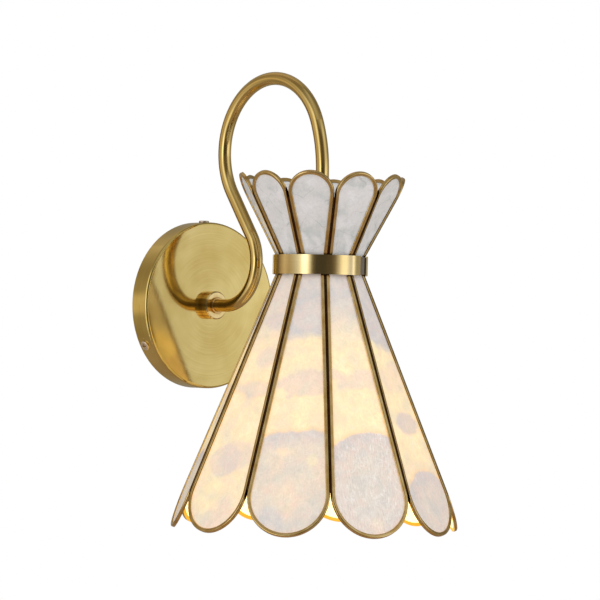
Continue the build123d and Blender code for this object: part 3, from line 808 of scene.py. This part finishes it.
def bell_looks() -> dict[int, PaneLook]:
    """The bell's panes: four as they show from the front, and six of the same kind."""
    looks = {
        8: PaneLook((
            ShellLeaf(8, 45, 16, 8, 0.5, 0.5, 4.0),
            ShellLeaf(6, 74, 12, 7, 0.35, 0.6, 5.0),
            ShellLeaf(9, 99, 22, 7, 0.45, 0.6, 3.0, rim_light=0.4),
            ShellLeaf(6, 152, 19, 12, 0.25, 0.8, 4.0),
            ShellLeaf(-5, 156, 17, 13, 0.45, 0.4, 3.0, 0.5, wavy=2.0),
            ShellLeaf(-9, 184, 13, 14, -0.35, -0.5, 9.0),
            ShellLeaf(8, 200, 14, 16, 0.08, 0.5, 7.0, 0.6),
        ), shadow_end=50, shadow_edge=34, shadow_glow=0.2, blush=0.6),
        9: PaneLook((
            ShellLeaf(3, 95, 24, 9, 0.4, 1.0, 3.0, wavy=5.0),
            ShellLeaf(-9, 147, 7, 4, -0.5, 0.2, 3.0, 0.6),
            big_leaf(13, 130.5, half_width=78, clears=0.45, wavy=3.0, edge=2.6, fibrous=0.7),
            ShellLeaf(15, 154, 2.5, 3.5, -0.7, -0.8, 4.0),
            ShellLeaf(-2, 184, 9, 12, -0.5, 0.3, 9.0, 0.8),
            ShellLeaf(-11, 199, 7, 9, 0.6, -0.6, 7.0),
        ), shadow_end=59, shadow_tilt=-0.25, shadow_glow=0.12),
        10: PaneLook((
            ShellLeaf(-6, 26, 14, 1, 0.0, 0.2, 1.5),
            ShellLeaf(9, 91, 20, 8, 0.3, 0.9, 3.0, wavy=5.0),
            ShellLeaf(-13, 86, 7, 5, 0.35, 0.6, 3.0),
            big_leaf(6, 131, fibrous=1.9, clears=0.2),
            ShellLeaf(1, 176, 16, 25, 0.0, -0.7, 12.0),
            ShellLeaf(3, 203, 5, 7, -1.2, 0.2, 7.0),
        ), shadow_end=49, shadow_edge=30, shadow_glow=0.12),
        1: PaneLook((
            ShellLeaf(-14, 63, 7, 6, -0.7, -0.4, 4.0),
            ShellLeaf(4, 88, 18, 12, 0.2, 0.7, 5.0),
            ShellLeaf(3, 125.5, 15, 9, 0.66, 0.8, 3.0, 0.6, wavy=2.0),
            big_leaf(4, 162, half_width=38, half_height=38, clears=0.25),
        ), shadow_end=66, shadow_edge=6, shadow_glow=0.06),
    }
    for number in range(2, 8):
        drift = noise.noise(Vector((number * 3.1, 0, 0)))
        lean = noise.noise(Vector((number * 3.1, 9, 0)))
        looks[number] = PaneLook((
            ShellLeaf(20 * lean, 94 + 20 * drift, 20, 9, 0.3, 0.8, 3.5, wavy=5.0),
            ShellLeaf(-22 * lean, 120 + 14 * lean, 8, 9, 0.5, 0.4, 2.5, 0.5),
            big_leaf(16 * lean, 138 + 26 * drift, clears=0.45),
        ), shadow_end=56 + 10 * drift, shadow_tilt=0.4 * lean, shadow_edge=12, shadow_glow=0.15,
            blush=0.0)
    return looks


def crown_looks() -> dict[int, PaneLook]:
    """The crown's panes: one broad leaf each, its rim at a height of its own."""
    looks = {}
    for number in range(1, 11):
        drift = noise.noise(Vector((number * 2.7, 4, 0)))
        looks[number] = PaneLook((
            ShellLeaf(6 * drift, 52 + 16 * drift, 30, 28, 0.0, 0.4 + drift, 3.0, 0.5),
        ), shadow_end=200)
    return looks


# ---------------------------------------------------------------- the other sub-assemblies

@dataclass
class WallCanopy:
    """Canopy, wall plate, screws and wiring at the wall."""

    # Spun and brushed in rings: the mirrored studio runs out sideways in soft streaks.
    face: SatinBrass = SatinBrass("brass_canopy_brushed", "#E8CF80", "#D4B764", 0.09,
                                  Brushing.AROUND_ARM, line_pitch=0.8, line_shade=0.3)
    # Turned bright: pale heads, with painted shade in dark brown in their slots.
    screws: AgedBrass = AgedBrass("brass_screw_bright", "#EAD6BC", "#F4E8D8", "#2E160A",
                                  roughness=0.3, corner_reach=1.6, blotch_size=3.0)
    # Zinc-plated sheet: cool grey, with faint crystals.
    plate: PlainSurface = PlainSurface("steel_zinc_plated", "#C9CCCE", "#A9AEB2", 1.0, 0.38,
                                       grain_size=2.2, relief=0.004, cells=True)
    # Moulded polyamide: off-white and half matt.
    block: PlainSurface = PlainSurface("polyamide_moulded", "#E9E6DC", "#DDD9CC", 0.0, 0.5,
                                       grain_size=0.6, relief=0.01)
    # Extruded sheath: off-white, with the soft shine of cable.
    sheath: PlainSurface = PlainSurface("pvc_sheath_extruded", "#ECE9E2", "#DFDBD0", 0.0, 0.34,
                                        grain_size=1.5, relief=0.01)

    def build(self) -> None:
        """Dress every part at the wall, and the steel parts like its plate."""
        dress(["canopy"], self.face.build())
        dress(["canopy_side_screws", "earth_screw", "arm_nuts", "lampholder_contact"],
              self.screws.build())
        dress(["wall_plate", "arm_lock_washers", "waist_ring", "shade_carrier"],
              self.plate.build())
        dress(["terminal_block"], self.block.build())
        dress(["lamp_lead"], self.sheath.build())


@dataclass
class Gooseneck:
    """The bent tube and the collar at its foot."""

    # Polished: long, sharp light and dark lines along the bends.
    tube: SatinBrass = SatinBrass("brass_tube_polished", "#E2C67E", "#D6B66C", 0.13,
                                  Brushing.POLISHED, line_relief=0.0001, line_shade=0.03)
    # Turned: pale gold steps, with painted shade making them a little darker in their corners.
    collar: AgedBrass = AgedBrass("brass_collar_turned", "#EACE88", "#F1D696", "#B88C44",
                                  roughness=0.12, corner_reach=6.0, blotch_size=5.0)

    def build(self) -> None:
        """Dress the tube and the collar."""
        dress(["arm_tube"], self.tube.build())
        dress(["arm_collar"], self.collar.build())


@dataclass
class Waist:
    """The strap round the shade's waist, and the plate that joins its ends."""

    # Brushed along its length: a pale band, with its lights drawn out level.
    strap: SatinBrass = SatinBrass("brass_strap_brushed", "#EAD49B", "#DBC084", 0.14,
                                   Brushing.AROUND_SHADE, line_pitch=0.8, line_shade=0.25)
    # Rolled steel: a grey-brown gap between the strap's ends.
    plate: PlainSurface = PlainSurface("steel_joint_plate_rolled", "#A89E96", "#8F857D", 1.0, 0.3,
                                       grain_size=1.6, relief=0.003)

    def build(self) -> None:
        """Dress the strap and its plate."""
        dress(["waist_band"], self.strap.build())
        dress(["strap_joint_plate"], self.plate.build())


@dataclass
class Lamp:
    """The lampholder and the lit lamp in it."""

    # Moulded polyester: cream and half matt.
    holder: PlainSurface = PlainSurface("polyester_holder_moulded", "#E8E4DA", "#DAD5C8", 0.0,
                                        0.45, grain_size=0.8, relief=0.01)
    # Rolled thread with nickel plate: bright, cool grey turns.
    cap: PlainSurface = PlainSurface("nickel_cap_rolled", "#C9C8C4", "#B3B1AC", 1.0, 0.28,
                                     grain_size=1.2, relief=0.003)
    globe: OpalGlass = OpalGlass()

    def build(self) -> None:
        """Dress the lampholder and the lamp."""
        dress(["lampholder_cap", "lampholder_body"], self.holder.build())
        dress(["bulb_cap"], self.cap.build())
        dress(["bulb_globe"], self.globe.build())


# ---------------------------------------------------------------- studio

@dataclass(frozen=True)
class Softbox:
    """A soft lamp that stands round the object and faces it."""

    name: str
    azimuth: float       # degrees from the front (-Y) towards +X
    elevation: float     # degrees
    radiance: float      # 1 renders as white
    width: float
    height: float = 1.3
    distance: float = 1.6

    def build(self, target: Vector) -> None:
        """Add the lamp."""
        azimuth, elevation = math.radians(self.azimuth), math.radians(self.elevation)
        outward = Vector((math.sin(azimuth) * math.cos(elevation),
                          -math.cos(azimuth) * math.cos(elevation), math.sin(elevation)))
        light = bpy.data.lights.new(self.name, "AREA")
        light.shape = "RECTANGLE"
        light.size, light.size_y = self.width, self.height
        light.energy = self.radiance * math.pi * self.width * self.height
        lamp = bpy.data.objects.new(self.name, light)
        lamp.location = target + outward * self.distance
        lamp.rotation_euler = (-outward).to_track_quat("-Z", "Y").to_euler()
        lamp.visible_camera = False
        lamp.visible_glossy = False
        bpy.context.scene.collection.objects.link(lamp)
        log.info("placed %s", self.name)


@dataclass
class Studio:
    """White background, pale floor, soft lamps and the camera."""

    # The level at which the surroundings light matt surfaces.
    fill: tuple[float, float, float, float] = (0.93, 0.935, 0.955, 1.0)
    floor_drop: float = 0.25             # below the object's lowest point
    floor_radius: float = 1.1
    floor_fade: tuple[float, float] = (0.45, 0.95)  # shares of the radius where it thins out
    floor_white: float = 0.62            # share of the camera's view of it that is plain white
    camera_place: tuple[float, float, float] = (-1.53022, -1.81468, -0.02918)
    camera_back: tuple[float, float, float] = (-0.67035, -0.74189, -0.01483)
    camera_right: tuple[float, float, float] = (0.74154, -0.67050, 0.02342)
    lens: float = 180.83                 # mm on a 36 mm sensor
    # What polished metal sees round it, as shares of the brightest: degrees from the front
    # towards +X. One ring lies level with the object, and the others above and below it.
    brightest: float = 2.4
    level_ring: tuple[tuple[float, str], ...] = (
        (-180, "#4A4034"), (-166, "#46392A"), (-152, "#7A6E5C"), (-139, "#93897A"),
        (-124, "#7C7262"), (-112, "#858077"), (-101, "#949494"), (-91, "#B4B4B4"),
        (-84, "#F8F8F8"), (-77, "#F0F0F0"), (-70, "#B4B4B4"), (-62, "#50493C"), (-53, "#2A2620"),
        (-34, "#2A2620"), (-15, "#3A342A"), (-6, "#544E44"), (4, "#969696"), (12, "#C8C8C8"),
        (24, "#CCCCCC"), (34, "#9A9CA6"), (41, "#9496A4"), (45, "#DADADE"), (54, "#6E6A62"),
        (90, "#6E6A62"), (138, "#76726A"), (180, "#4A4034"),
    )
    tilted_ring: tuple[tuple[float, str], ...] = (
        (-180, "#6B655B"), (-150, "#635A4C"), (-130, "#7E786E"), (-107, "#9C9A98"),
        (-90, "#BFBFBF"), (-80, "#BCBCBC"), (-69, "#7E7A74"), (-58, "#423C32"), (-15, "#423C32"),
        (-6, "#5B564C"), (4, "#7E7E7E"), (12, "#9C9C9C"), (24, "#A5A5A5"), (36, "#9C9C9C"),
        (48, "#89898B"), (60, "#71706E"), (74, "#59564F"), (120, "#5B574F"), (180, "#6B655B"),
    )
    high_ring: tuple[tuple[float, str], ...] = (
        (-180, "#8A8278"), (-150, "#6A6054"), (-125, "#5A5144"), (-98, "#5C5852"),
        (-60, "#747270"), (-40, "#807E7A"), (-10, "#7C7A76"), (30, "#66635E"), (72, "#4C4842"),
        (120, "#6B665E"), (180, "#7E766C"),
    )
    bands: tuple[tuple[float, float], ...] = ((4.0, 13.0), (28.0, 44.0))  # degrees where they meet
    softboxes: tuple[Softbox, ...] = (
        Softbox("key_softbox", azimuth=-76.0, elevation=6.0, radiance=1.9, width=0.42),
        Softbox("fill_softbox", azimuth=28.0, elevation=4.0, radiance=1.6, width=0.5),
    )

    def build_world(self) -> None:
        """White to the eye, soft grey light for matt surfaces, and a studio for metal to mirror."""
        world = bpy.data.worlds.new("studio_surroundings")
        bpy.context.scene.world = world
        world.use_nodes = True
        tree = world.node_tree
        tree.nodes.clear()
        towards = add_node(tree, "TexCoord").outputs["Generated"]
        x, y, z = add_node(tree, "SeparateXYZ", (towards,)).outputs
        front = add_node(tree, "Math", (y, -1.0), operation="MULTIPLY")
        turn = add_node(tree, "Math", (x, front), operation="ARCTAN2")
        share = add_node(tree, "MapRange", (turn, -math.pi, math.pi))
        shown, *others = (
            add_node(tree, "ValToRGB", (share,),
                     ((degrees / 360 + 0.5, grey) for degrees, grey in ring)).outputs[0]
            for ring in (self.level_ring, self.tilted_ring, self.high_ring))
        height = add_node(tree, "Math", (z,), operation="ABSOLUTE")
        for band, ring in zip(self.bands, others):
            edges = (math.sin(math.radians(degrees)) for degrees in band)
            off_level = add_node(tree, "MapRange", (height, *edges),
                                 interpolation_type="SMOOTHSTEP")
            shown = add_node(tree, "Mix", {0: off_level, 6: shown, 7: ring},
                             data_type="RGBA").outputs[2]
        mirrored = add_node(tree, "VectorMath", {0: shown, 3: self.brightest}, operation="SCALE")
        path = add_node(tree, "LightPath").outputs
        shiny = add_node(tree, "Math", (path["Is Glossy Ray"], path["Is Transmission Ray"]),
                         operation="MAXIMUM")
        unseen = add_node(tree, "Mix", {0: shiny, 6: self.fill, 7: mirrored}, data_type="RGBA")
        seen = add_node(tree, "Mix", {0: path["Is Camera Ray"], 6: unseen.outputs[2], 7: WHITE},
                        data_type="RGBA")
        background = add_node(tree, "Background", {"Color": seen.outputs[2]})
        add_node(tree, "OutputWorld", {"Surface": background})

    def build_floor(self, low: Vector) -> None:
        """Pale floor that takes the object's shadow and fades out towards its rim."""
        mesh = bpy.data.meshes.new("studio_floor")
        disc = bmesh.new()
        bmesh.ops.create_circle(disc, cap_ends=True, segments=96, radius=self.floor_radius)
        disc.to_mesh(mesh)
        disc.free()
        floor = bpy.data.objects.new("studio_floor", mesh)
        floor.location = (SHADE_AXIS.x, SHADE_AXIS.y, low.z - self.floor_drop)
        bpy.context.scene.collection.objects.link(floor)
        material, tree = new_tree("floor_painted_pale")
        place = add_node(tree, "TexCoord").outputs["Object"]
        reach = add_node(tree, "VectorMath", (place,), operation="LENGTH").outputs["Value"]
        edges = (self.floor_radius * share for share in self.floor_fade)
        rim = add_node(tree, "MapRange", (reach, *edges), interpolation_type="SMOOTHSTEP")
        paint = add_node(tree, "BsdfDiffuse", {"Color": linear("#F0D6C0")})
        seen = add_node(tree, "LightPath").outputs["Is Camera Ray"]
        white = add_node(tree, "Emission", {"Color": WHITE, "Strength": seen})
        lit = add_node(tree, "MixShader", (self.floor_white, paint, white))
        clear = add_node(tree, "BsdfTransparent")
        add_node(tree, "OutputMaterial", (add_node(tree, "MixShader", (rim, lit, clear)),))
        mesh.materials.append(material)
        floor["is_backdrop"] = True
        log.info("laid the floor")

    def build_camera(self) -> None:
        """Camera at the photograph's viewing angle."""
        back, right = Vector(self.camera_back), Vector(self.camera_right)
        up = back.cross(right)
        turned = Matrix((right, up, back)).transposed()
        camera = bpy.data.cameras.new("camera")
        camera.lens, camera.sensor_width = self.lens, 36.0
        camera.clip_end = 20.0
        holder = bpy.data.objects.new("camera", camera)
        holder.matrix_world = Matrix.Translation(self.camera_place) @ turned.to_4x4()
        bpy.context.scene.collection.objects.link(holder)
        bpy.context.scene.camera = holder

    def build(self) -> None:
        """Set up the whole studio."""
        low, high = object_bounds()
        self.build_world()
        self.build_floor(low)
        for softbox in self.softboxes:
            softbox.build((low + high) / 2)
        self.build_camera()
        bpy.context.scene.view_settings.view_transform = "Standard"


def main() -> None:
    """Dress the sconce, make its shell panes and set up the studio."""
    logging.basicConfig(level=logging.INFO, format="%(message)s")
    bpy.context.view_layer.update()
    # Steel strip browned with heat: a dark line in each seam.
    strip = PlainSurface("steel_strip_browned", "#5A3820", "#381E10", 1.0, 0.45,
                         grain_size=3.0, relief=0.01)
    dress(["seam_strips"], strip.build())
    WallCanopy().build()
    Gooseneck().build()
    Waist().build()
    # The bell's shell carries painted lamp light as emission; the crown's carries none.
    lit_shell = CapizShell("capiz_shell_painted_glow")
    unlit_shell = CapizShell("capiz_shell_unlit", pearl="#ECEBEA", cool="#CCD0CD", rose="#E5E2E0",
                             fibre_dark="#AEB0AC", crack_shade=0.6)
    PetalTier("bell", -1, flare=21.55, turn=0.0, shell=lit_shell, looks=bell_looks(),
              lit=1.0).build()
    PetalTier("crown", 1, flare=26.8, turn=3.2, shell=unlit_shell, looks=crown_looks(),
              lit=0.0).build()
    Lamp().build()
    Studio().build()


if __name__ == "__main__":
    main()
